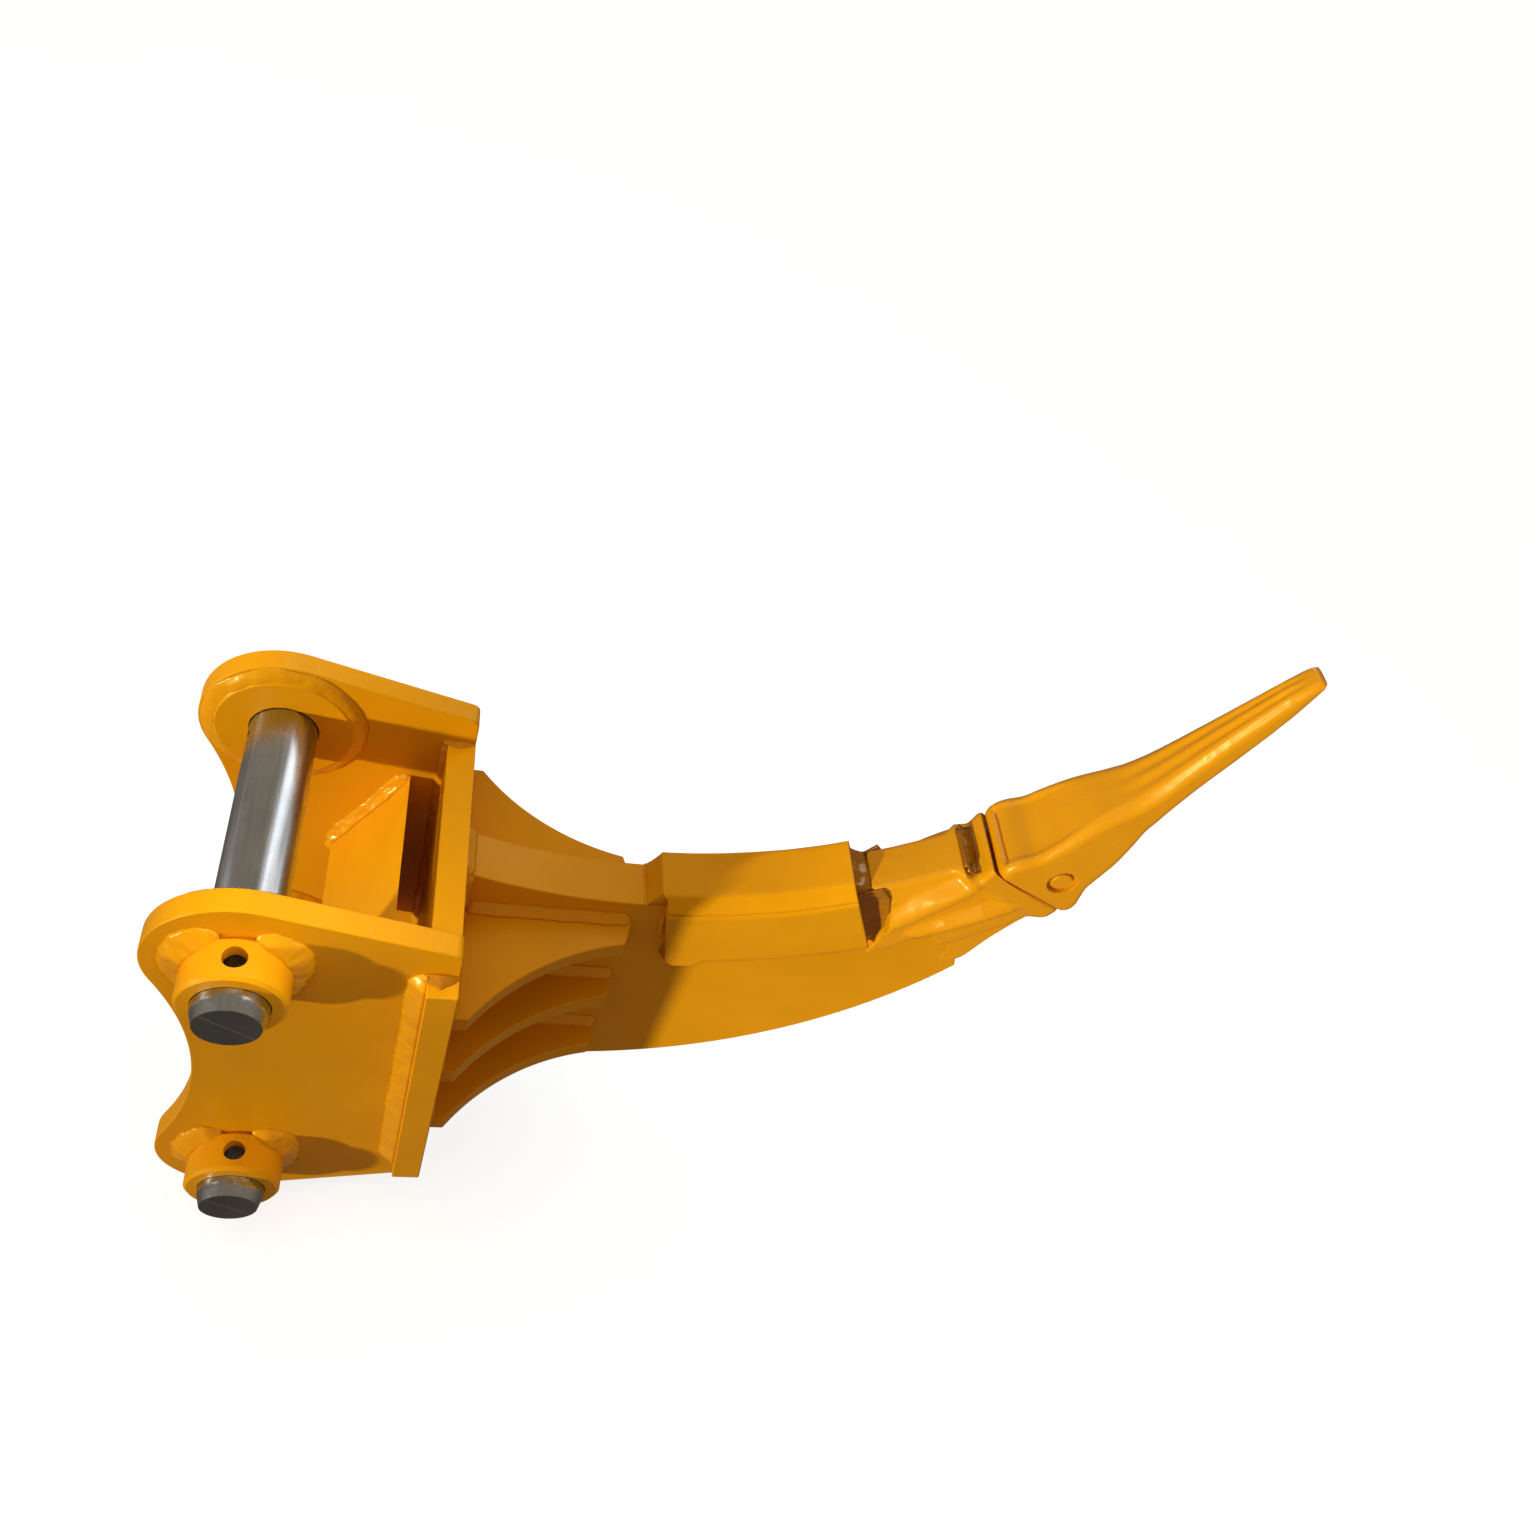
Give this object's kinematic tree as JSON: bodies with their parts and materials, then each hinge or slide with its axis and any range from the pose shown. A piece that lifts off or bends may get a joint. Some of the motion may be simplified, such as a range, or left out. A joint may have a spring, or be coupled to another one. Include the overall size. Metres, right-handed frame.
{
  "type": "excavator single-shank ripper",
  "caption": "Pin-on single-shank excavator ripper: ear bracket with two pins, curved ribbed shank, shin guard, adapter and replaceable pointed tooth.",
  "frame": {"origin": "on the stick pin's axis, midway between the two ear plates", "axes": "+X from the pins along the shank, +Y along the pins to the far ear, +Z towards the concave working edge of the shank"},
  "size_m": [1.2398, 0.48, 1.022],
  "materials": {
    "orange_paint": "gloss",
    "pin_steel": "turned and ground",
    "retainer_rubber": "matte"
  },
  "bodies": {
    "ripper_frame": {"ear_plate_near": "orange_paint", "ear_plate_far": "orange_paint", "stick_pin_collar": "orange_paint", "link_pin_collar": "orange_paint", "stick_disc_near": "orange_paint", "stick_disc_far": "orange_paint", "link_disc_near": "orange_paint", "link_disc_far": "orange_paint", "base_plate": "orange_paint", "brace_plate": "orange_paint", "shank": "orange_paint", "rib_near_top": "orange_paint", "rib_near_middle": "orange_paint", "rib_near_bottom": "orange_paint", "rib_far_top": "orange_paint", "rib_far_middle": "orange_paint", "rib_far_bottom": "orange_paint", "shin_guard": "orange_paint", "adapter": "orange_paint", "tooth": "orange_paint", "lock_pin_retainer": "retainer_rubber"},
    "stick_pin_body": {"stick_pin": "pin_steel"},
    "link_pin_body": {"link_pin": "pin_steel"},
    "tooth_lock_body": {"tooth_lock_pin": "orange_paint"}
  },
  "joints": [
    {"name": "stick_pin_slide", "type": "slide", "parent": "ripper_frame", "child": "stick_pin_body", "axis": [0, -1, 0], "range_m": [0, 0.47]},
    {"name": "link_pin_slide", "type": "slide", "parent": "ripper_frame", "child": "link_pin_body", "axis": [0, -1, 0], "range_m": [0, 0.47]},
    {"name": "tooth_lock_pin_slide", "type": "slide", "parent": "ripper_frame", "child": "tooth_lock_body", "axis": [0, -1, 0], "range_m": [0, 0.12]}
  ]
}
